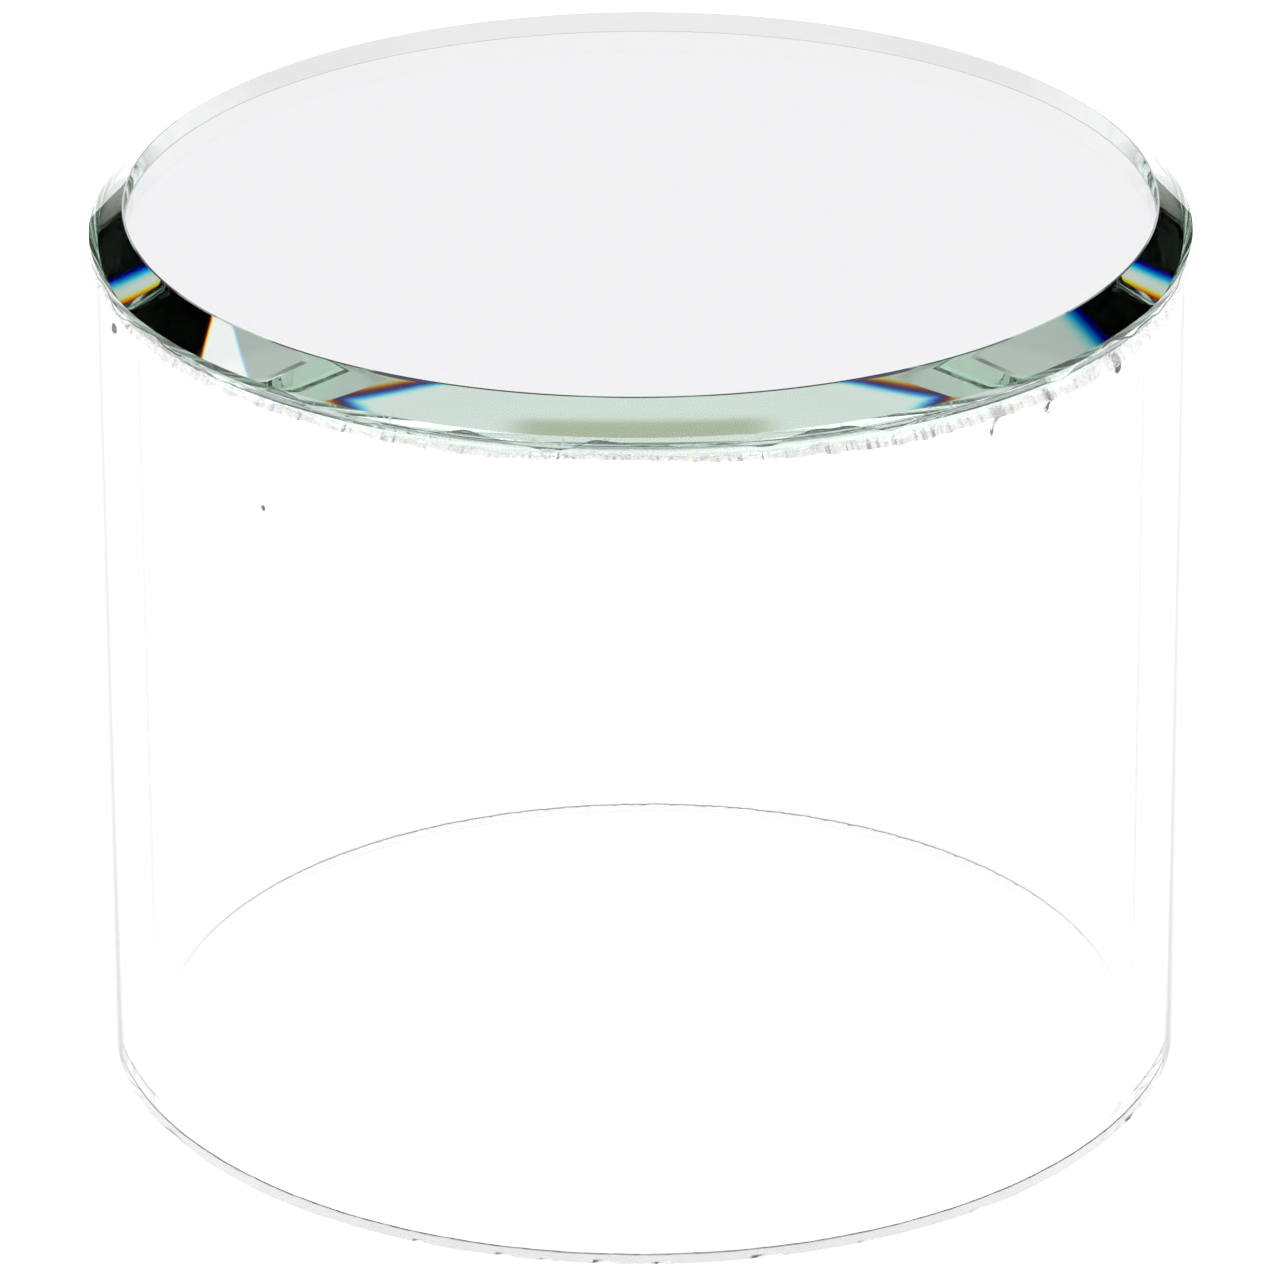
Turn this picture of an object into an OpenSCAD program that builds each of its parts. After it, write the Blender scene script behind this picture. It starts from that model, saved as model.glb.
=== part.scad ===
// Round display riser: a clear acrylic tube, open underneath, with a round bevelled
// mirror bonded on top of it as the display surface. Millimetres, +Z up.
// The origin is the centre of the tube's bottom end, where the riser stands.

/* [Tube] */
// Outside diameter of the acrylic tube
tube_d = 100; // [60:1:150]
// Thickness of the tube's wall
tube_wall = 3.5; // [2.5:0.5:5]
// Height of the tube, from the table to the bond under the mirror
tube_h = 80; // [40:0.5:150]
// Width of the small bevel that breaks the four edges of the tube's two ends
tube_edge = 0.2; // [0.1:0.1:0.5]

/* [Mirror] */
// How far the mirror stands out past the tube, all the way round
mirror_overhang = 0.4; // [0.4:0.1:3]
// Thickness of the glass
glass_t = 3.3; // [3.1:0.1:6]
// Width of the polished bevel round the top face, seen from above
bevel_w = 3.2; // [1:0.2:8]
// How far the bevel falls from the top face to the rim
bevel_drop = 2.5; // [0.3:0.1:2.7]
// Width of the ground arris round the lower edge of the glass
arris = 0.15; // [0.1:0.05:0.3]
// Nominal thickness of the silver on the back of the glass
silver_t = 0.05; // [0.05:0.01:0.1]
// Nominal thickness of the protective paint over the silver
paint_t = 0.1; // [0.05:0.05:0.2]

/* [Adhesive] */
// Thickness of the bond between the tube's end and the mirror's back
bond_t = 0.35; // [0.2:0.05:0.8]
// Mean height of the squeezed-out adhesive outside the tube
bead_h = 2.0; // [1.5:0.1:3]
// How far the squeezed-out adhesive stands into the tube, under the mirror
inner_bead_w = 1.2; // [0.8:0.1:2]
// Height of the squeezed-out adhesive inside the tube
inner_bead_h = 1.6; // [1:0.1:3]
// How far a run drop of adhesive stands off the tube's wall
drip_rise = 0.4; // [0.2:0.1:0.4]

/* [Hidden] */

$fn = 180;
tube_r = tube_d / 2;
bore_r = tube_r - tube_wall;
mirror_r = tube_r + mirror_overhang;
coating_r = mirror_r - arris;

// Levels of the stack, from the tube's top end to the top face of the mirror
bond_z = tube_h;
paint_z = bond_z + bond_t;
silver_z = paint_z + paint_t;
glass_z = silver_z + silver_t;
top_z = glass_z + glass_t;

// The outer bead is swept round the tube in this many flat steps
bead_steps = 96;
// Its back touches the tube at the middle of each step and never enters the wall
bead_back_r = tube_r / cos(180 / bead_steps);

// Run drops on the tube's wall: [degrees round from +X, height below the paint, radius]
drips = [[-48, 3.9, 0.9], [-44, 3.6, 0.7], [-32, 3.8, 0.8], [-161, 3.7, 0.8], [-132, 11.3, 0.5]];

// Height of the outer bead at one angle. It wanders, and is heaviest on the right.
function bead_height(a) = bead_h + 0.22 * sin(5 * a + 20) + 0.16 * sin(9 * a) +
    0.09 * sin(17 * a + 50) + 0.45 * pow((1 + cos(a + 20)) / 2, 4);

// Section of the outer bead at one angle: a fillet between the mirror and the wall
function bead_section(a) =
    let (h = bead_height(a), w = mirror_overhang - arris)
    [[bead_back_r, paint_z],
     [tube_r + w, paint_z],
     [tube_r + 0.8 * w, paint_z - 0.4 * h],
     [tube_r + 0.55 * w, paint_z - 0.8 * h],
     [bead_back_r, paint_z - h]];

// A closed ring whose section changes with the angle
module swept_ring(steps, sides) {
    ring = [for (i = [0 : steps - 1])
        let (a = 360 * i / steps)
        for (p = bead_section(a)) [p[0] * cos(a), p[0] * sin(a), p[1]]];
    faces = [for (i = [0 : steps - 1], j = [0 : sides - 1])
        let (i2 = (i + 1) % steps, j2 = (j + 1) % sides)
        for (f = [[i * sides + j, i * sides + j2, i2 * sides + j2],
                  [i * sides + j, i2 * sides + j2, i2 * sides + j]]) f];
    polyhedron(points = ring, faces = faces, convexity = 4);
}

// The body: a saw-cut length of extruded tube with its sharp edges broken
module acrylic_tube() {
    color("aliceblue", 0.35)
        rotate_extrude()
            polygon([[bore_r + tube_edge, 0],
                     [tube_r - tube_edge, 0],
                     [tube_r, tube_edge],
                     [tube_r, tube_h - tube_edge],
                     [tube_r - tube_edge, tube_h],
                     [bore_r + tube_edge, tube_h],
                     [bore_r, tube_h - tube_edge],
                     [bore_r, tube_edge]]);
}

// The display surface: clear float glass with a flat polished bevel
module mirror_glass() {
    color("honeydew", 0.5)
        rotate_extrude()
            polygon([[0, glass_z],
                     [mirror_r - arris, glass_z],
                     [mirror_r, glass_z + arris],
                     [mirror_r, top_z - bevel_drop],
                     [mirror_r - bevel_w, top_z],
                     [0, top_z]]);
}

// The reflecting layer, on the back of the glass
module silver_layer() {
    color("silver")
        translate([0, 0, silver_z])
            cylinder(h = silver_t, r = coating_r);
}

// The paint that keeps damp and adhesive off the silver
module backing_paint() {
    color("slategray")
        translate([0, 0, paint_z])
            cylinder(h = paint_t, r = coating_r);
}

// The bond line, over the whole end of the tube
module adhesive_bond() {
    color("ghostwhite", 0.6)
        rotate_extrude()
            polygon([[bore_r, bond_z],
                     [tube_r, bond_z],
                     [tube_r, paint_z],
                     [bore_r, paint_z]]);
}

// Adhesive pressed out under the mirror's overhang
module adhesive_outer_bead() {
    color("ghostwhite", 0.6)
        swept_ring(bead_steps, len(bead_section(0)));
}

// Adhesive pressed out inside the tube
module adhesive_inner_bead() {
    color("ghostwhite", 0.6)
        rotate_extrude()
            polygon([[bore_r, paint_z],
                     [bore_r - inner_bead_w, paint_z],
                     [bore_r - 0.6 * inner_bead_w, paint_z - 0.4 * inner_bead_h],
                     [bore_r - 0.2 * inner_bead_w, paint_z - 0.85 * inner_bead_h],
                     [bore_r, paint_z - inner_bead_h]]);
}

// Drops of adhesive that ran on to the wall before it set
module adhesive_drips() {
    color("ghostwhite", 0.6)
        for (d = drips)
            rotate([0, 0, d[0]])
                translate([tube_r, 0, paint_z - d[1]])
                    intersection() {
                        translate([drip_rise - d[2], 0, 0])
                            sphere(r = d[2]);
                        translate([0, -d[2], -d[2]])
                            cube(2 * d[2]);
                    }
}

acrylic_tube();
mirror_glass();
silver_layer();
backing_paint();
adhesive_bond();
adhesive_outer_bead();
adhesive_inner_bead();
adhesive_drips();
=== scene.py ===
"""Looks for the round display riser: a clear acrylic tube with a bevelled mirror bonded on top.

Metres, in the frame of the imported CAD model. Nothing is read but that frame.
"""

import math

import bmesh
import bpy
import numpy as np
from mathutils import Matrix, Vector, noise


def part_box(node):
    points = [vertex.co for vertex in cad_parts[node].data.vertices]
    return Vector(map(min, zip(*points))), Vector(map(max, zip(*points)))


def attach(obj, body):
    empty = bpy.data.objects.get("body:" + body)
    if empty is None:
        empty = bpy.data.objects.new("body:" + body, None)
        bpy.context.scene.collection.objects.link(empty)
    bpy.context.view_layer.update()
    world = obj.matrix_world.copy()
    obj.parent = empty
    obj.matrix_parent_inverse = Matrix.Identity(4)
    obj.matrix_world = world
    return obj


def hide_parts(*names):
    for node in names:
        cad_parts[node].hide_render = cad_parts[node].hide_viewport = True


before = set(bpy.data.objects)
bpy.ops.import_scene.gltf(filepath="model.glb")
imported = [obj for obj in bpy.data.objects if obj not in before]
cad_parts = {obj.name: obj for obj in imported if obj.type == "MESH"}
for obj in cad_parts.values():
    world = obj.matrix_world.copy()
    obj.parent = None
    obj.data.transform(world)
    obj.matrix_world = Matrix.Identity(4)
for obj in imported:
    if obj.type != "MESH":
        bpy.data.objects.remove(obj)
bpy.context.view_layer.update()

MM = 0.001
WHITE = (1.0, 1.0, 1.0, 1.0)
BLACK = (0.0, 0.0, 0.0, 1.0)
scene = bpy.context.scene

# ---------------------------------------------------------------- sizes, from the CAD frame
tube_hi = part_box("acrylic_tube")[1]
glass_lo, glass_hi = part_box("mirror_glass")
silver_lo, silver_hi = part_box("silver_layer")
paint_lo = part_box("backing_paint")[0]
bond_lo, bond_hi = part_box("adhesive_bond")

TUBE_R = tube_hi[0]
TUBE_H = tube_hi[2]
WALL = 3.5 * MM
BORE_R = TUBE_R - WALL
EDGE = 0.2 * MM                 # bevel on the edges of the sawn ends
MIRROR_R = glass_hi[0]
TOP_Z = glass_hi[2]
GLASS_Z = glass_lo[2]
COAT_R = silver_hi[0]
SILVER_Z = silver_lo[2]
PAINT_Z = paint_lo[2]
BEVEL_W = 3.2 * MM
BEVEL_DROP = 2.5 * MM
ARRIS = 0.15 * MM
FLAT_R = MIRROR_R - BEVEL_W
INNER_BEAD_W = 1.2 * MM
SILVER_GAP = 0.01 * MM          # air film, so light inside the glass is reflected at the glass itself
BEVEL_ROUND = 4.0               # degrees the bevel's slope grows across its width, tuned to the photo
RIM_R = MIRROR_R - 0.05 * MM    # room for the adhesive that has crept up the rim
GLASS_IOR = 1.50                # tuned to the photo together with BEVEL_ROUND
ACRYLIC_IOR = 1.49
ADHESIVE_IOR = 1.47
FACETS = 1024                   # steps round the mirror
TUBE_FACETS = 1440              # steps round the tube
BEAD_FACETS = 2400              # steps round the adhesive

# ---------------------------------------------------------------- node helpers


class Graph:
    """Short names for building a node tree."""

    def __init__(self, tree):
        self.tree = tree
        tree.nodes.clear()

    def node(self, kind, values=None, **props):
        n = self.tree.nodes.new(kind)
        for key, value in props.items():
            setattr(n, key, value)
        for key, value in (values or {}).items():
            self.put(n.inputs[key], value)
        return n

    def put(self, socket, value):
        if isinstance(value, bpy.types.NodeSocket):
            self.tree.links.new(value, socket)
        else:
            socket.default_value = value

    def math(self, op, a, b=0.0, clamp=False):
        return self.node("ShaderNodeMath", {0: a, 1: b}, operation=op, use_clamp=clamp).outputs[0]

    def add(self, a, b):
        return self.math("ADD", a, b)

    def mul(self, a, b):
        return self.math("MULTIPLY", a, b)

    def step(self, x, lo, hi, a=0.0, b=1.0):
        """Smooth ramp of x: a at lo, b at hi."""
        n = self.node("ShaderNodeMapRange", {"Value": x, "From Min": lo, "From Max": hi,
                                             "To Min": a, "To Max": b},
                      interpolation_type="SMOOTHSTEP")
        return n.outputs["Result"]

    def window(self, x, lo, hi, soft_lo, soft_hi):
        """1 between lo and hi, falling to 0 over the soft widths outside them."""
        up = self.step(x, lo - soft_lo, lo)
        down = self.step(x, hi, hi + soft_hi, 1.0, 0.0)
        return self.mul(up, down)

    def mix(self, fac, a, b, blend="MIX"):
        n = self.node("ShaderNodeMix", data_type="RGBA", blend_type=blend)
        self.put(n.inputs[0], fac)
        self.put(n.inputs[6], a)
        self.put(n.inputs[7], b)
        return n.outputs[2]

    def ramp(self, fac, stops):
        n = self.node("ShaderNodeValToRGB", {"Fac": fac})
        r = n.color_ramp
        while len(r.elements) < len(stops):
            r.elements.new(0.5)
        for e, (pos, colour) in zip(r.elements, stops):
            e.position = pos
            e.color = (*colour, 1.0)
        return n.outputs["Color"]

    def noise(self, vector, scale, detail=2.0, rough=0.5):
        n = self.node("ShaderNodeTexNoise", {"Vector": vector, "Scale": scale, "Detail": detail,
                                             "Roughness": rough})
        return n.outputs["Fac"]

    def place(self):
        """Coordinates fixed to the object, in metres."""
        return self.node("ShaderNodeTexCoord").outputs["Object"]


def material(name):
    m = bpy.data.materials.new(name)
    m.use_nodes = True
    return m, Graph(m.node_tree)


def grey(v):
    return (v, v, v)


# ---------------------------------------------------------------- studio

# The studio beyond the bevel, a guess that gives the bevel the photo's look. Angles are degrees from
# straight behind the object, to either side.
DISPERSION = 0.42               # how far apart red and blue leave the bevel, to each side of green
CUT_STAND = 15.4                # a thin dark stand
CUT_GAP = 25.6                  # a bright gap on the left ...
CUT_FLAG_LEFT = 29.1            # ... up to the black flag
CUT_FLAG_RIGHT = 30.4           # the flag's edge on the right
CUT_SLIT = (39.0, 43.6)         # a slit in the flag
CUT_SIDE = 54.0                 # the far edge of the black
UNLIT_TO = (136.0, 141.0)       # turned-back light meets dark up to here, and fades in over this
# for red, green and blue: shift of the edges, then the pale, dull and bright levels behind them
CHANNELS = ((DISPERSION, 0.97, 0.60, 1.34), (0.0, 0.96, 0.62, 1.20),
            (-DISPERSION, 0.98, 0.615, 1.30))
TURNED_BACK = 19                # meetings with the silver, of the light that brightens the back
TURNED_COLOUR = (1.24, 1.12, 1.22, 1.0)
BACKDROP = [                    # height over 90 degrees, and colour
    (0.0, grey(0.97)), (0.2, (0.94, 0.93, 0.95)), (0.28, (0.95, 0.94, 0.96)), (0.32, grey(1.0)),
    (0.42, grey(0.96)), (0.50, (0.86, 0.845, 0.85)), (0.66, (0.87, 0.855, 0.86)), (0.8, grey(0.92)),
    (1.0, grey(0.98))]
TRAPPED_DEPTH = 27.0            # past this many bounces, light in the glass finds the table painted dark


def make_world():
    """White studio. Light that has crossed the mirror's glass also meets a stand and black flags,
    which give the bevel its black, coloured and grey-green stretches. The colours split at each
    edge as glass splits them, by moving the edge a little for each of red, green and blue."""
    world = bpy.data.worlds.new("studio")
    scene.world = world
    world.use_nodes = True
    g = Graph(world.node_tree)
    ray = g.node("ShaderNodeTexCoord").outputs["Generated"]
    xyz = g.node("ShaderNodeSeparateXYZ", {0: ray})
    to_deg = 180.0 / math.pi
    az = g.mul(g.math("ARCTAN2", g.math("ABSOLUTE", xyz.outputs[0]), xyz.outputs[1]), to_deg)
    el = g.mul(g.math("ARCSINE", xyz.outputs[2]), to_deg)
    # light that leaves towards the right behind the object is what the left of the bevel shows
    to_right = g.math("GREATER_THAN", xyz.outputs[0], 0.0)
    path = g.node("ShaderNodeLightPath")
    depth = path.outputs["Ray Depth"]

    def crossings(n):
        """1 for light that met the silver n times on its way through the glass: it bends going in,
        meets silver and glass in turn, and bends going out."""
        d = g.math("SUBTRACT", depth, 2 * n + 2)
        return g.math("LESS_THAN", g.math("ABSOLUTE", d), 0.5)

    def slanted(slope, level, shift):
        """Azimuth of an edge that leans by slope and is upright at level, moved sideways by shift."""
        return g.add(g.add(az, shift), g.mul(g.math("SUBTRACT", el, level), slope))

    def without(fac):
        return g.math("SUBTRACT", 1.0, fac)

    def behind_ten(shift, pale, dull):
        """Pale backdrop, the stand, then a duller stretch; and the table's edge low down."""
        over_top = g.math("MINIMUM", g.math("MAXIMUM", g.math("SUBTRACT", el, 25.2), 0.0), 0.5)
        lean_in = g.mul(over_top, -11.0)
        lean_out = g.mul(g.math("MAXIMUM", g.math("SUBTRACT", 23.3, el), 0.0), 4.3)
        u = g.add(slanted(2.9, 24.0, 1.15 * shift), g.add(lean_in, lean_out))
        line = g.window(u, CUT_STAND - 0.30, CUT_STAND + 0.30, 1.5, 1.2)
        level = g.step(u, CUT_STAND - 0.2, CUT_STAND + 0.2, pale, dull)
        table = g.mul(g.window(el, 19.0, 22.4, 0.5, 0.8), g.window(az, 0.2, 5.2, 1.6, 2.8))
        level = g.mul(level, without(g.mul(table, 0.52 if shift < 0 else 0.38)))
        return g.mul(level, without(g.mul(line, 0.97)))

    def behind_nine(shift, dull, bright):
        """The dull stretch, the bright gap on the left, the flag."""
        u = slanted(-0.53, 22.0, -0.28 * shift)
        left = g.step(u, CUT_GAP - 0.15, CUT_GAP + 0.15, dull, bright)
        u = slanted(0.0, 22.0, -0.28 * shift)
        left = g.mul(left, g.step(u, CUT_FLAG_LEFT - 0.15, CUT_FLAG_LEFT + 0.15, 1.0, 0.0))
        u = slanted(0.57, 23.0, 1.9 * shift)
        other = g.step(u, CUT_FLAG_RIGHT - 1.5, CUT_FLAG_RIGHT + 0.6, dull, 0.0)
        return g.add(g.mul(other, without(to_right)), g.mul(left, to_right))

    def behind_eight(shift):
        """The slit in the flag."""
        u = slanted(1.23, 20.0, 2.4 * shift)
        slit = g.mul(g.step(u, CUT_SLIT[0] - 1.1, CUT_SLIT[0] + 0.6),
                     g.step(u, CUT_SLIT[1] - 1.2, CUT_SLIT[1] + 1.0, 1.0, 0.0))
        return g.mul(slit, 0.86)

    def behind_seven(shift):
        """Past the far edge of the black."""
        u = slanted(0.75, 21.0, 0.5 * shift)
        return g.add(g.step(u, CUT_SIDE - 0.3, CUT_SIDE + 0.7, 0.0, 0.26),
                     g.step(u, CUT_SIDE, CUT_SIDE + 11.0, 0.0, 0.5))

    backdrop = g.ramp(g.math("DIVIDE", el, 90.0, clamp=True), BACKDROP)
    channels = []
    for shift, pale, dull, bright in CHANNELS:
        seen = 0.0
        for n, value in ((10, behind_ten(shift, pale, dull)), (9, behind_nine(shift, dull, bright)),
                         (8, behind_eight(shift)), (7, behind_seven(shift))):
            seen = g.add(seen, g.mul(crossings(n), value))
        channels.append(seen)
    crossed = g.add(g.add(crossings(10), crossings(9)), g.add(crossings(8), crossings(7)))
    crossed = g.mul(crossed, g.math("LESS_THAN", az, 90.0))
    through = g.node("ShaderNodeCombineColor", dict(enumerate(channels))).outputs[0]
    colour = g.mix(crossed, backdrop, through)

    # light turned back once inside the glass: dark, and bright from the lit back of the studio
    again = g.mul(g.step(depth, 25.0, 26.0), g.math("LESS_THAN", depth, 60.0))
    unlit = g.step(az, *UNLIT_TO, 1.0, 0.0)
    colour = g.mix(g.mul(again, unlit), colour, BLACK)
    turned = g.mul(crossings(TURNED_BACK), without(unlit))
    colour = g.mix(turned, colour, TURNED_COLOUR)

    # the dark of the room, which the outside of the bevel reflects beside the backdrop
    room = g.window(g.math("SUBTRACT", el, g.math("SUBTRACT", az, 17.5)), -9.0, 9.0, 3.0, 3.0)
    room = g.mul(room, g.window(az, 19.0, 62.0, 6.0, 4.0))
    once = g.math("LESS_THAN", g.math("ABSOLUTE", g.math("SUBTRACT", depth, 2.0)), 0.5)
    room = g.mul(room, g.mul(once, path.outputs["Is Glossy Ray"]))
    colour = g.mix(room, colour, BLACK)

    studio = g.node("ShaderNodeBackground", {"Color": colour, "Strength": 1.0})
    plain = g.node("ShaderNodeBackground", {"Color": WHITE, "Strength": 1.05})
    pick = g.node("ShaderNodeMixShader", {0: path.outputs["Is Camera Ray"], 1: studio.outputs[0],
                                          2: plain.outputs[0]})
    g.node("ShaderNodeOutputWorld", {"Surface": pick.outputs[0]})


def make_floor():
    """Pale table top, bright enough to print white. Seen from below it isn't there."""
    m, g = material("table_white")
    place = g.place()
    fine = g.noise(place, 900.0, 3.0)
    white = g.ramp(fine, [(0.3, grey(0.86)), (0.7, grey(0.90))])
    lit = g.node("ShaderNodeBsdfDiffuse", {"Color": white, "Roughness": 0.6})
    glow = g.node("ShaderNodeEmission", {"Color": WHITE, "Strength": 0.80})
    both = g.node("ShaderNodeAddShader", {0: lit.outputs[0], 1: glow.outputs[0]})
    clear = g.node("ShaderNodeBsdfTransparent")
    depth = g.node("ShaderNodeLightPath").outputs["Ray Depth"]
    # painted shade: past TRAPPED_DEPTH bounces the table is a near-black diffuse
    trapped = g.math("GREATER_THAN", depth, TRAPPED_DEPTH)
    shade = g.node("ShaderNodeBsdfDiffuse", {"Color": (0.02, 0.02, 0.02, 1.0)})
    both = g.node("ShaderNodeMixShader", {0: trapped, 1: both.outputs[0], 2: shade.outputs[0]})
    back = g.node("ShaderNodeNewGeometry").outputs["Backfacing"]
    pick = g.node("ShaderNodeMixShader", {0: back, 1: both.outputs[0], 2: clear.outputs[0]})
    g.node("ShaderNodeOutputMaterial", {"Surface": pick.outputs[0]})
    bm = bmesh.new()
    bmesh.ops.create_grid(bm, x_segments=8, y_segments=8, size=6.0)
    mesh = bpy.data.meshes.new("table_top")
    bm.to_mesh(mesh)
    bm.free()
    floor = bpy.data.objects.new("table_top", mesh)
    floor.location = (0.0, 0.0, -0.02 * MM)
    scene.collection.objects.link(floor)
    mesh.materials.append(m)


# ---------------------------------------------------------------- materials

PAINTED_SILHOUETTE_SHADE = (0.010, 0.009, 0.013, 1.0)     # painted shade: the near black that clear acrylic shows edge-on, put into its colour


def clear_plastic(name, tint, cut=False):
    """Clear acrylic: hairline scratches, a little dust and, on the sawn ends, blade marks."""
    m, g = material(name)
    place = g.place()
    long = g.node("ShaderNodeMapping", {"Vector": place, "Scale": (1.0, 1.0, 0.12)}).outputs[0]
    hair = g.noise(long, 2600.0, 2.0, 0.6)
    patch = g.noise(place, 60.0, 3.0, 0.6)
    marks = g.mul(g.step(hair, 0.66, 0.72), g.step(patch, 0.52, 0.70))
    dust = g.step(g.noise(place, 5200.0, 1.0), 0.80, 0.84)
    if cut:
        rough = g.add(g.mul(g.noise(place, 1800.0, 3.0), 0.10), 0.02)
        bump_height = g.noise(place, 2200.0, 3.0)
        bump_depth = 0.02 * MM
    else:
        rough = g.add(g.mul(marks, 0.05), g.mul(dust, 0.10))
        bump_height = marks
        bump_depth = 0.002 * MM
    bump = g.node("ShaderNodeBump", {"Strength": 0.5, "Distance": bump_depth, "Height": bump_height})
    # painted shade: the colour turns near black where the surface is seen edge-on
    facing = g.node("ShaderNodeLayerWeight", {"Blend": 0.5}).outputs["Facing"]
    colour = g.mix(g.step(facing, 0.80, 0.88), (*tint, 1.0), PAINTED_SILHOUETTE_SHADE)
    p = g.node("ShaderNodeBsdfPrincipled", {
        "Base Color": colour, "Roughness": rough, "IOR": ACRYLIC_IOR, "Transmission Weight": 1.0,
        "Normal": bump.outputs[0]})
    surface = p.outputs[0]
    if cut:
        # the saw left the end partly matt, more so towards the front, which is a guess
        y = g.node("ShaderNodeSeparateXYZ", {0: place}).outputs[1]
        patchy = g.step(g.noise(place, 260.0, 3.0), 0.25, 0.7, 0.7, 1.0)
        matt = g.mul(g.step(y, -0.045, 0.02, 0.22, 0.05), patchy)
        frost = g.node("ShaderNodeBsdfDiffuse", {"Color": (0.66, 0.63, 0.69, 1.0)})
        surface = g.node("ShaderNodeMixShader", {0: matt, 1: surface, 2: frost.outputs[0]}).outputs[0]
    g.node("ShaderNodeOutputMaterial", {"Surface": surface})
    return m


def chipped_material():
    """The shell-like face of a chip, with painted shade: it turns the light away, so a near-black
    colour makes it read dark.
    """
    m, g = material("acrylic_chip_painted_shade")
    p = g.node("ShaderNodeBsdfPrincipled", {
        "Base Color": (0.02, 0.02, 0.03, 1.0), "Roughness": 0.25, "IOR": ACRYLIC_IOR,
        "Transmission Weight": 0.15})
    g.node("ShaderNodeOutputMaterial", {"Surface": p.outputs[0]})
    return m


def green_tint(g):
    """The faint green that soda-lime glass has through its thickness."""
    absorb = {"Color": (0.22, 0.54, 0.33, 1.0), "Density": 5.0}
    return g.node("ShaderNodeVolumeAbsorption", absorb).outputs[0]


def mirror_glass_material():
    """Clear glass with a few dust specks."""
    m, g = material("mirror_glass_clear")
    place = g.place()
    specks = g.step(g.noise(place, 2600.0, 1.0), 0.84, 0.86)
    p = g.node("ShaderNodeBsdfPrincipled", {
        "Base Color": WHITE, "Roughness": g.mul(specks, 0.05), "IOR": GLASS_IOR,
        "Transmission Weight": 1.0})
    g.node("ShaderNodeOutputMaterial", {"Surface": p.outputs[0], "Volume": green_tint(g)})
    return m


def ground_rim_material():
    """The rim of the same glass, ground on a wheel: soft, with fine upright ticks."""
    m, g = material("mirror_glass_ground_rim")
    place = g.place()
    tall = g.node("ShaderNodeMapping", {"Vector": place, "Scale": (1.0, 1.0, 0.08)}).outputs[0]
    ticks = g.noise(tall, 2400.0, 3.0, 0.6)
    rough = g.mul(g.step(ticks, 0.45, 0.75), 0.14)
    bump = g.node("ShaderNodeBump", {"Strength": 0.25, "Distance": 0.004 * MM, "Height": ticks})
    p = g.node("ShaderNodeBsdfPrincipled", {
        "Base Color": WHITE, "Roughness": rough, "IOR": GLASS_IOR,
        "Transmission Weight": 1.0, "Normal": bump.outputs[0]})
    g.node("ShaderNodeOutputMaterial", {"Surface": p.outputs[0], "Volume": green_tint(g)})
    return m


def polished_edge_material():
    """The softened edge between flat and bevel: a hair's breadth that sends little light on, given
    painted shade as a dark, patchy glass tint.
    """
    m, g = material("mirror_glass_edge_painted_shade")
    place = g.place()
    # painted shade: a dark green-grey tint, patchy along the edge
    edge_shade_patches = g.noise(place, 300.0, 3.0)
    colour = g.mix(edge_shade_patches, (0.30, 0.37, 0.38, 1.0), (0.52, 0.60, 0.59, 1.0))
    p = g.node("ShaderNodeBsdfPrincipled", {
        "Base Color": colour, "Roughness": 0.03, "IOR": GLASS_IOR, "Transmission Weight": 1.0})
    g.node("ShaderNodeOutputMaterial", {"Surface": p.outputs[0], "Volume": green_tint(g)})
    return m


def silver_material():
    """Silvered back of the mirror: bright, with the faint grain of the deposit."""
    m, g = material("silvering")
    place = g.place()
    grain = g.noise(place, 4200.0, 3.0, 0.7)
    colour = g.ramp(grain, [(0.3, (0.955, 0.950, 0.955)), (0.7, (0.985, 0.980, 0.985))])
    p = g.node("ShaderNodeBsdfPrincipled", {
        "Base Color": colour, "Metallic": 1.0, "Roughness": 0.0})
    g.node("ShaderNodeOutputMaterial", {"Surface": p.outputs[0]})
    return m


def paint_material():
    """Protective grey backing paint, with roller stipple and a little dust in it."""
    m, g = material("backing_grey")
    place = g.place()
    stipple = g.noise(place, 1500.0, 4.0, 0.6)
    cloud = g.noise(place, 70.0, 3.0)
    colour = g.mix(cloud, (0.30, 0.31, 0.32, 1.0), (0.38, 0.39, 0.40, 1.0))
    specks = g.step(g.noise(place, 3300.0, 1.0), 0.72, 0.76)
    colour = g.mix(g.mul(specks, 0.5), colour, (0.62, 0.62, 0.60, 1.0))
    rough = g.add(g.mul(stipple, 0.25), 0.42)
    bump = g.node("ShaderNodeBump", {"Strength": 0.6, "Distance": 0.03 * MM, "Height": stipple})
    p = g.node("ShaderNodeBsdfPrincipled", {
        "Base Color": colour, "Roughness": rough, "Normal": bump.outputs[0]})
    g.node("ShaderNodeOutputMaterial", {"Surface": p.outputs[0]})
    return m


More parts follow.
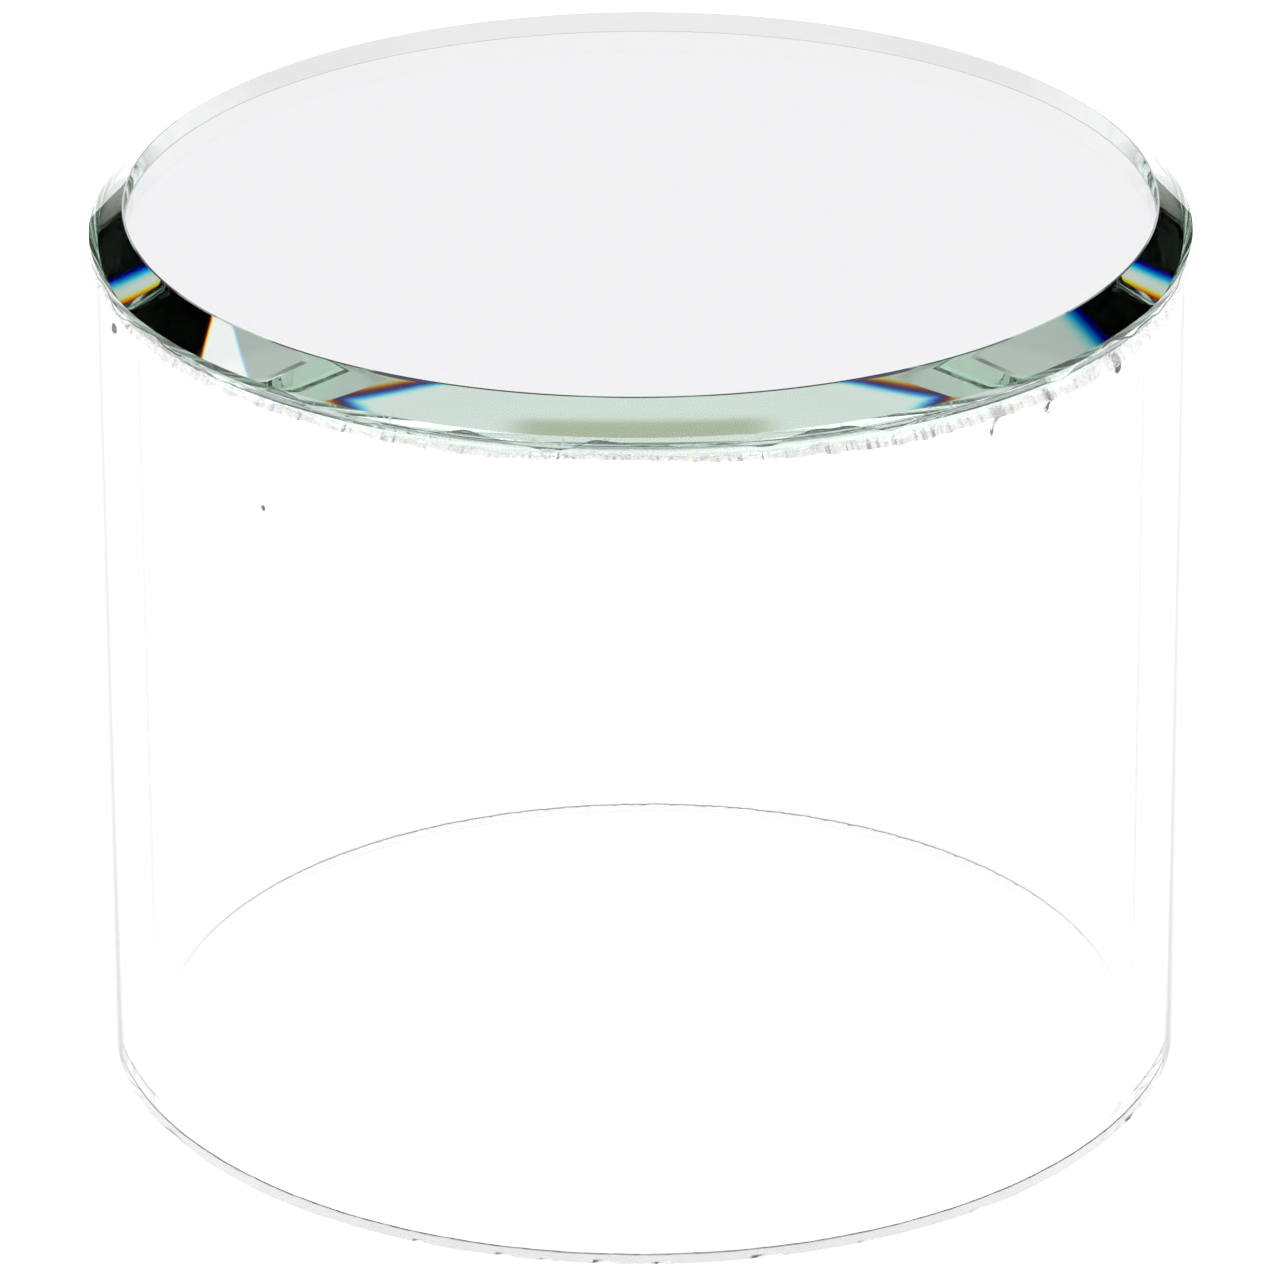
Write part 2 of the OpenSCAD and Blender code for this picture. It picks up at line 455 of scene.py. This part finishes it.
def adhesive_material(name, body, froth_amount, edge=0.0):
    """Water-clear cured adhesive. Froth in it greys it in fine specks, some violet, some yellowish;
    edge sets the painted shade that darkens a drop's colour towards its outline, where it bends light
    most."""
    m, g = material(name)
    place = g.place()
    froth = g.noise(place, 2600.0, 3.0, 0.65)
    cells = g.node("ShaderNodeTexVoronoi", {"Vector": place, "Scale": 3600.0},
                   feature="DISTANCE_TO_EDGE")
    walls = g.step(cells.outputs["Distance"], 0.03, 0.22, 1.0, 0.0)
    where = g.step(g.noise(place, 620.0, 2.0), 0.38, 0.60)
    hue = g.ramp(g.noise(place, 1500.0, 1.0), [(0.38, (0.26, 0.23, 0.34)), (0.5, (0.27, 0.30, 0.29)),
                                               (0.62, (0.50, 0.44, 0.24))])
    dark = g.mul(g.mul(walls, where), froth_amount)
    colour = g.mix(dark, (*body, 1.0), hue)
    # light that has already bounced ten times comes out of the mirror, and isn't tinted
    inside = g.step(g.node("ShaderNodeLightPath").outputs["Ray Depth"], 9.5, 10.5)
    colour = g.mix(inside, colour, WHITE)
    if edge:
        # painted shade: the colour darkens towards the outline, where the drop is seen edge-on
        facing = g.node("ShaderNodeLayerWeight", {"Blend": 0.35}).outputs["Facing"]
        colour = g.mix(g.mul(g.step(facing, 0.35, 0.95), edge), colour, (0.26, 0.28, 0.29, 1.0))
    rough = g.mul(g.step(froth, 0.45, 0.75), 0.15 * froth_amount)
    bump = g.node("ShaderNodeBump", {"Strength": 0.6, "Distance": 0.03 * MM, "Height": froth})
    p = g.node("ShaderNodeBsdfPrincipled", {
        "Base Color": colour, "Roughness": rough, "IOR": ADHESIVE_IOR,
        "Transmission Weight": 1.0, "Normal": bump.outputs[0]})
    g.node("ShaderNodeOutputMaterial", {"Surface": p.outputs[0]})
    return m


# ---------------------------------------------------------------- mesh helpers

def new_object(name, verts, faces, mats, face_mats=None, sharp_deg=None):
    mesh = bpy.data.meshes.new(name)
    mesh.from_pydata([tuple(v) for v in verts], [], faces)
    for m in mats:
        mesh.materials.append(m)
    if face_mats is not None:
        mesh.polygons.foreach_set("material_index", face_mats)
    bm = bmesh.new()
    bm.from_mesh(mesh)
    bmesh.ops.recalc_face_normals(bm, faces=bm.faces)
    for f in bm.faces:
        f.smooth = True
    if sharp_deg is not None:
        limit = math.radians(sharp_deg)
        for e in bm.edges:
            if len(e.link_faces) == 2 and e.calc_face_angle(0.0) > limit:
                e.smooth = False
    bm.to_mesh(mesh)
    bm.free()
    obj = bpy.data.objects.new(name, mesh)
    scene.collection.objects.link(obj)
    return obj


def loft(rings, closed_profile=False, cap_start=False, cap_end=False):
    """Quads between rings of points, each ring closed; rings is an array (n_rings, n_around, 3)."""
    rings = np.asarray(rings, dtype=float)
    n, k = rings.shape[:2]
    verts = rings.reshape(-1, 3)
    faces = []
    pairs = n if closed_profile else n - 1
    for i in range(pairs):
        a, b = i * k, ((i + 1) % n) * k
        for j in range(k):
            j2 = (j + 1) % k
            faces.append((a + j, a + j2, b + j2, b + j))
    if cap_start:
        faces.append(tuple(range(k)))
    if cap_end:
        faces.append(tuple((n - 1) * k + j for j in range(k)))
    return verts, faces


def angles(k=FACETS):
    return np.arange(k) * (2 * math.pi / k)


def circle(r, z, k=FACETS):
    a = angles(k)
    r = np.broadcast_to(r, a.shape)
    z = np.broadcast_to(z, a.shape)
    return np.stack([r * np.cos(a), r * np.sin(a), z], axis=1)


# ---------------------------------------------------------------- the mirror

def make_glass():
    """The glass, from its back up over the rim and the bevel to the flat."""
    z0 = GLASS_Z + SILVER_GAP
    rings = [circle(RIM_R - ARRIS, z0), circle(RIM_R, z0 + ARRIS)]
    steps = 14
    mean = math.atan2(BEVEL_DROP, BEVEL_W)
    fall = [0.0]
    for i in range(steps):
        slope = mean + math.radians(BEVEL_ROUND) * ((i + 0.5) / steps - 0.5)
        fall.append(fall[-1] + math.tan(slope) * BEVEL_W / steps)
    for i in range(steps, 0, -1):
        across = (RIM_R - FLAT_R) * i / steps
        rings.append(circle(FLAT_R + across, TOP_Z - BEVEL_DROP * fall[i] / fall[-1]))
    soft = 0.07 * MM                                          # the flat's edge, softened by polishing
    rings.append(circle(FLAT_R + soft, TOP_Z - soft * math.tan(mean)))
    rings.append(circle(FLAT_R - soft, TOP_Z - 0.012 * MM))
    rings.append(circle(FLAT_R - 1.4 * soft, TOP_Z))
    verts, faces = loft(rings, cap_start=True, cap_end=True)
    face_mats = np.zeros(len(faces), dtype=np.int32)
    face_mats[:2 * FACETS] = 1                                # the arris and the upright rim
    edge_row = len(rings) - 3
    face_mats[edge_row * FACETS:(edge_row + 1) * FACETS] = 2
    mats = [mirror_glass_material(), ground_rim_material(), polished_edge_material()]
    glass = new_object("bevelled_mirror_glass", verts, faces, mats, face_mats, sharp_deg=5.0)
    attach(glass, "root")
    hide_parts("mirror_glass")


def make_coatings():
    """Silver and paint on the glass's back, with an edge that wanders a little."""
    a = angles()
    creep = 0.06 * MM * (np.sin(9 * a) + np.sin(23 * a + 1.0) + np.sin(57 * a + 2.0)) / 3 - 0.06 * MM
    rings = [circle(COAT_R + creep, SILVER_Z), circle(COAT_R + creep, GLASS_Z)]
    verts, faces = loft(rings, cap_start=True, cap_end=True)
    silver = new_object("silvered_back", verts, faces, [silver_material()], sharp_deg=30.0)
    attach(silver, "root")
    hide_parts("silver_layer")

    rings = [circle(COAT_R + creep - 0.02 * MM, PAINT_Z), circle(COAT_R + creep, PAINT_Z + 0.03 * MM),
             circle(COAT_R + creep, SILVER_Z - 0.001 * MM)]
    verts, faces = loft(rings, cap_start=True, cap_end=True)
    paint = new_object("backing_paint_coat", verts, faces, [paint_material()], sharp_deg=30.0)
    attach(paint, "root")
    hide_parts("backing_paint")


# ---------------------------------------------------------------- the tube

# chips at the bottom outer edge: degrees from the front towards +X, length mm, reach mm, depth mm
CHIPS = [(-60.0, 5.0, 1.6, 0.25), (-23.8, 1.6, 1.2, 0.22), (-14.3, 1.8, 1.3, 0.25),
         (-10.2, 1.0, 0.9, 0.2), (-3.8, 2.2, 1.4, 0.3), (2.0, 1.3, 1.0, 0.22), (13.0, 2.4, 1.4, 0.25),
         (24.0, 2.0, 0.9, 0.16), (38.0, 2.4, 0.8, 0.16), (66.0, 3.0, 1.6, 0.25)]


# the saw's marks: waves round the tube, their slant, height mm, phase
SAW_MARKS = ((210, 0.9, 0.006, 0.3), (333, 0.6, 0.004, 1.9), (97, 1.3, 0.008, 4.0),
             (611, 0.4, 0.002, 2.2), (41, 0.8, 0.010, 5.1))
CHIP_SHADED_FROM = 0.03                # mm of depth from which a chip's face gets the painted-shade material


def end_relief(a, r, seed, chips):
    """Height in mm of the sawn end above its lowest plane, at angle a from the front and radius r."""
    across = r / MM - 48.25                                   # from the middle of the wall
    wave = 0.0
    for count, slant, size, phase in SAW_MARKS:
        wave = wave + size * np.sin(count * a + slant * count * across / 48.0 + phase + seed)
    height = 0.03 + wave
    for deg, length, reach, depth in chips:
        away = (a - math.radians(deg) + math.pi) % (2 * math.pi) - math.pi
        along = (away * r / MM + 0.9 * (TUBE_R - r) / MM) / (length / 2)
        deep = ((TUBE_R - r) / MM) / reach
        notch = np.clip(1.0 - along ** 2 - deep ** 2, 0.0, 1.0)
        height = height + depth * np.sqrt(notch)
    return height


def make_tube():
    k = TUBE_FACETS
    a = angles(k)
    front = (a + math.pi / 2 + math.pi) % (2 * math.pi) - math.pi     # 0 at the front, up to +X
    rings, kinds = [], []

    def ring(r, z, kind):
        rings.append(circle(r, z, k))
        kinds.append(kind)

    # bottom end, from the bore outwards
    radii = np.linspace(BORE_R + EDGE, TUBE_R - EDGE, 15)
    for r in radii:
        ring(r, end_relief(front, r, 0.0, CHIPS) * MM, 1)
    ring(TUBE_R, (EDGE / MM + end_relief(front, TUBE_R, 0.0, CHIPS)) * MM, 0)
    for z in np.linspace(2.0 * MM, TUBE_H - 2.0 * MM, 5):
        ring(TUBE_R, z, 0)
    ring(TUBE_R, TUBE_H - EDGE, 0)
    # top end, wetted by the adhesive, so clear
    for r in radii[::-1]:
        ring(r, TUBE_H - 0.3 * end_relief(front, r, 2.6, []) * MM, 0)
    ring(BORE_R, TUBE_H - EDGE, 0)
    for z in np.linspace(TUBE_H - 2.0 * MM, 2.0 * MM, 5):
        ring(BORE_R, z, 0)
    ring(BORE_R, (0.3 * EDGE / MM + end_relief(front, BORE_R, 0.0, [])) * MM, 1)
    verts, faces = loft(rings, closed_profile=True)
    face_mats = np.repeat(kinds, k).astype(np.int32)
    for row in range(len(radii) - 1):
        middle = (radii[row] + radii[row + 1]) / 2
        chip = end_relief(front, middle, 0.0, CHIPS) - end_relief(front, middle, 0.0, [])
        face_mats[row * k:(row + 1) * k][chip > CHIP_SHADED_FROM] = 2
    walls = clear_plastic("acrylic_polished", (1.0, 1.0, 1.0))
    ends = clear_plastic("acrylic_sawn", (0.99, 0.99, 1.0), cut=True)
    tube = new_object("riser_tube", verts, faces, [walls, ends, chipped_material()], face_mats,
                      sharp_deg=35.0)
    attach(tube, "root")
    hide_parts("acrylic_tube")


# ---------------------------------------------------------------- the adhesive

def bead_height(a_deg):
    """Height in mm of the CAD model's outer bead at an angle from +X."""
    rad = np.radians
    return (2.0 + 0.22 * np.sin(rad(5 * a_deg + 20)) + 0.16 * np.sin(rad(9 * a_deg))
            + 0.09 * np.sin(rad(17 * a_deg + 50))
            + 0.45 * ((1 + np.cos(rad(a_deg + 20))) / 2) ** 4)


def creep_height(a_deg):
    """Where the adhesive's upper lip lies, in mm above the glass's lower edge: tongues that run up
    the rim, and bays below it."""
    rad = np.radians
    lip = (0.02 + 0.34 * np.sin(rad(19 * a_deg + 10)) + 0.26 * np.sin(rad(31 * a_deg + 130))
           + 0.14 * np.sin(rad(53 * a_deg + 70)) + 0.05 * np.sin(rad(113 * a_deg)))
    return np.clip(lip, -0.72, 0.72)


# how the bead here differs from the CAD's, from the photo: shorter, more ragged, and heavier
# to the right of the front
BEAD_SHARE = 0.80
BEAD_RAGGED = 0.55
BEAD_HEAVY = 0.7
BEAD_ROWS = 30                  # steps down the bead's face


def make_outer_bead():
    """Up over the mirror's rim and down the tube's wall, ragged along its lower lip."""
    frothy = adhesive_material("adhesive_frothy", (0.45, 0.455, 0.47), 0.95)
    clear = adhesive_material("adhesive_clear", (0.62, 0.70, 0.66), 0.10)
    # painted reflection: the lip's dark colours stand in for a black flag reflected in the fillet
    lip = adhesive_material("adhesive_lip", (0.20, 0.28, 0.28), 0.1)
    lip_painted_black_reflection = adhesive_material("adhesive_lip_painted_black_reflection", (0.004, 0.006, 0.006), 0.0)
    k = BEAD_FACETS
    a = angles(k)
    deg = np.degrees(a)
    top = bond_hi[2]
    ragged = np.array([
        noise.noise(Vector((math.cos(t) * 40, math.sin(t) * 40, 3.0))) * 0.35
        + noise.noise(Vector((math.cos(t) * 130, math.sin(t) * 130, 9.0))) * 0.22 for t in a])
    heavy = np.clip(np.cos(np.radians(deg + 24)), 0.0, 1.0) ** 6
    height = (BEAD_SHARE * bead_height(deg) + ragged * BEAD_RAGGED + BEAD_HEAVY * heavy) * MM
    creep = creep_height(deg) * MM
    back_r, full_r = TUBE_R + 0.02 * MM, MIRROR_R - 0.004 * MM
    under = top - 0.004 * MM
    wet_r = RIM_R + 0.003 * MM
    low = top - height
    wet_z = GLASS_Z + np.maximum(creep, 0.03 * MM)
    lip_z = np.minimum(GLASS_Z + creep, wet_z - 0.01 * MM)
    beside = COAT_R + 0.03 * MM
    rings = [circle(r, z, k) for r, z in (
        (back_r, low), (back_r, under), (beside, under), (beside, GLASS_Z - 0.003 * MM),
        (RIM_R - 0.1 * MM, GLASS_Z - 0.003 * MM),
        (wet_r, np.minimum(GLASS_Z + ARRIS, wet_z) - 0.005 * MM), (wet_r, wet_z),
        (wet_r + 0.008 * MM, wet_z - 0.005 * MM), (wet_r + 0.008 * MM, lip_z),
        (full_r - 0.012 * MM, lip_z - 0.03 * MM), (full_r, lip_z - 0.08 * MM))]
    kinds = [1, 1, 1, 1, 1, 1, 1, 1, 2, 2, 1]
    from_front = np.abs((deg + 90 + 180) % 360 - 180)
    side = (from_front > 54) & (from_front < 83)
    aside = np.clip((from_front - 40) / 20, 0.0, 1.0)
    froth_from = 0.56 - 0.40 * aside + 0.25 * ragged          # how far down the froth starts
    start = lip_z - 0.08 * MM
    for i in range(1, BEAD_ROWS + 1):
        s = i / BEAD_ROWS                                     # 0 at the crept lip, 1 at the lower lip
        z = start + (low - start) * s
        r = np.empty(k)
        for j in range(k):
            if z[j] > GLASS_Z - 0.2 * MM:
                r[j] = full_r
                continue
            p = Vector((math.cos(a[j]) * 50, math.sin(a[j]) * 50, z[j] / MM))
            lumps = noise.noise(p * 1.1) * 0.10 + noise.noise(p * 4.4) * 0.04
            cell = noise.voronoi(p * 4.6)[0]
            foam = max(0.0, 1.0 - cell[0] * 2.2)
            body = max(0.0, 1.0 - ((start[j] - z[j]) / (start[j] - low[j])) ** 4.0) ** 0.5
            fill = 0.70 + 0.2 * heavy[j] + lumps
            if s > froth_from[j]:
                fill += 0.6 * (foam - 0.4) * min(1.0, (s - froth_from[j]) * 6)
            fill = min(1.0, max(0.12, fill))
            r[j] = back_r + (full_r - back_r) * fill * body
        rings.append(circle(r, z, k))
        kinds.append(1)
    verts, faces = loft(rings, closed_profile=True)
    face_mats = np.repeat(kinds, k).astype(np.int32)
    for i in range(1, BEAD_ROWS + 1):
        row = len(rings) - 1 - BEAD_ROWS + i
        face_mats[row * k:(row + 1) * k][i / BEAD_ROWS > froth_from] = 0
    for row in (8, 9, 10):                                    # the lip, with painted dark reflection, near black at the sides
        face_mats[row * k:(row + 1) * k][side] = 3
    bead = new_object("squeezed_out_bead", verts, faces, [frothy, clear, lip, lip_painted_black_reflection], face_mats,
                      sharp_deg=70.0)
    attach(bead, "root")
    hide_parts("adhesive_outer_bead")


def make_bond(film):
    """The bond itself, between the tube's sawn end and the paint."""
    k, top = BEAD_FACETS, bond_hi[2]
    rings = [circle(BORE_R, bond_lo[2] + 0.002 * MM, k), circle(TUBE_R, bond_lo[2] + 0.002 * MM, k),
             circle(TUBE_R + 0.01 * MM, top - 0.003 * MM, k), circle(BORE_R, top - 0.003 * MM, k)]
    verts, faces = loft(rings, closed_profile=True)
    bond = new_object("bond_film", verts, faces, [film], sharp_deg=30.0)
    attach(bond, "root")
    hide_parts("adhesive_bond")


def make_inner_bead(film):
    """A fillet in the corner under the mirror."""
    k = BEAD_FACETS
    a = angles(k)
    lo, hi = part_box("adhesive_inner_bead")
    inner_r, inner_z = BORE_R - INNER_BEAD_W, lo[2]
    ripple = 0.10 * np.sin(31 * a) + 0.08 * np.sin(73 * a + 1.0) + 0.05 * np.sin(171 * a + 2.0)
    scale = 0.86 + ripple * 0.4
    rings = []
    for i in range(9):
        t = i / 8 * math.pi / 2
        r = BORE_R - 0.002 * MM - (BORE_R - inner_r) * scale * (1 - math.sin(t))
        z = hi[2] - 0.004 * MM - (hi[2] - inner_z) * scale * (1 - math.cos(t))
        rings.append(circle(r, z, k))
    rings.append(circle(BORE_R - 0.002 * MM, hi[2] - 0.004 * MM, k))
    verts, faces = loft(rings, closed_profile=True)
    inner = new_object("inner_fillet_bead", verts, faces, [film], sharp_deg=40.0)
    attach(inner, "root")
    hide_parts("adhesive_inner_bead")


# run drops: degrees from +X, depth below the bond's top in mm, radius mm. They are the CAD's five,
# moved and resized a little from the photo.
DRIPS = [(-51, 3.2, 1.15), (-44, 2.9, 0.7), (-32, 2.7, 0.65), (-161, 2.7, 0.7), (-132, 11.3, 0.3)]
DRIP_RISE = 0.38 * MM           # how far a drop stands off the wall


def make_drips():
    m = adhesive_material("adhesive_drop", (0.78, 0.80, 0.80), 0.2, edge=0.3)
    rise = DRIP_RISE
    bm = bmesh.new()
    for n, (deg, below, radius) in enumerate(DRIPS):
        made = bmesh.ops.create_icosphere(bm, subdivisions=4, radius=1.0)["verts"]
        spin = Matrix.Rotation(math.radians(deg), 4, "Z")
        for v in made:
            p = v.co.copy()
            tail = 1.0 + 0.5 * max(0.0, p.z)
            wobble = 1.0 + 0.10 * noise.noise(p * 2.0 + Vector((n * 5.0, 0, 0)))
            flat = Vector((p.x * rise if p.x > 0 else p.x * 0.02 * MM,
                           p.y * radius * MM, p.z * radius * MM * tail * 0.8)) * wobble
            flat.x = min(flat.x, rise)
            v.co = spin @ (flat + Vector((TUBE_R + 0.015 * MM, 0, bond_hi[2] - below * MM)))
    mesh = bpy.data.meshes.new("adhesive_run_drops")
    for f in bm.faces:
        f.smooth = True
    bm.to_mesh(mesh)
    bm.free()
    mesh.materials.append(m)
    drops = bpy.data.objects.new("adhesive_run_drops", mesh)
    scene.collection.objects.link(drops)
    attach(drops, "root")
    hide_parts("adhesive_drips")


# ---------------------------------------------------------------- camera and render behaviour

# the camera of the photo, fitted without shift to a square frame
IMAGE_SIDE = 1280
FOCAL_PX = 9854.8
CAMERA_AT = (0.0, -0.83532, 0.41781)
CAMERA_TURN = (-0.0162, 24.3793, -0.2639)                     # degrees: yaw, downward pitch, roll


def make_camera():
    data = bpy.data.cameras.new("camera")
    cam = bpy.data.objects.new("camera", data)
    scene.collection.objects.link(cam)
    scene.camera = cam
    data.sensor_width = 36.0
    data.lens = FOCAL_PX / IMAGE_SIDE * data.sensor_width
    data.clip_start, data.clip_end = 0.01, 60.0
    yaw, pitch, roll = (math.radians(v) for v in CAMERA_TURN)
    level = math.cos(pitch)
    fwd = Vector((math.sin(yaw) * level, math.cos(yaw) * level, -math.sin(pitch)))
    right = Vector((math.cos(yaw), -math.sin(yaw), 0.0))
    up = right.cross(fwd)
    r2 = math.cos(roll) * right + math.sin(roll) * up
    u2 = -math.sin(roll) * right + math.cos(roll) * up
    turn = Matrix((r2, u2, -fwd)).transposed().to_4x4()
    cam.matrix_world = Matrix.Translation(CAMERA_AT) @ turn


def render_behaviour():
    """Print white as white, and let light travel inside the mirror's glass as far as it does."""
    scene.view_settings.view_transform = "Standard"
    scene.cycles.max_bounces = 128
    scene.cycles.diffuse_bounces = 4
    scene.cycles.glossy_bounces = 128
    scene.cycles.transmission_bounces = 128
    scene.cycles.transparent_max_bounces = 32


make_world()
make_floor()
make_glass()
make_coatings()
make_tube()
adhesive_film = adhesive_material("adhesive_film", (0.985, 0.995, 0.99), 0.05)
make_outer_bead()
make_bond(adhesive_film)
make_inner_bead(adhesive_film)
make_drips()
make_camera()
render_behaviour()
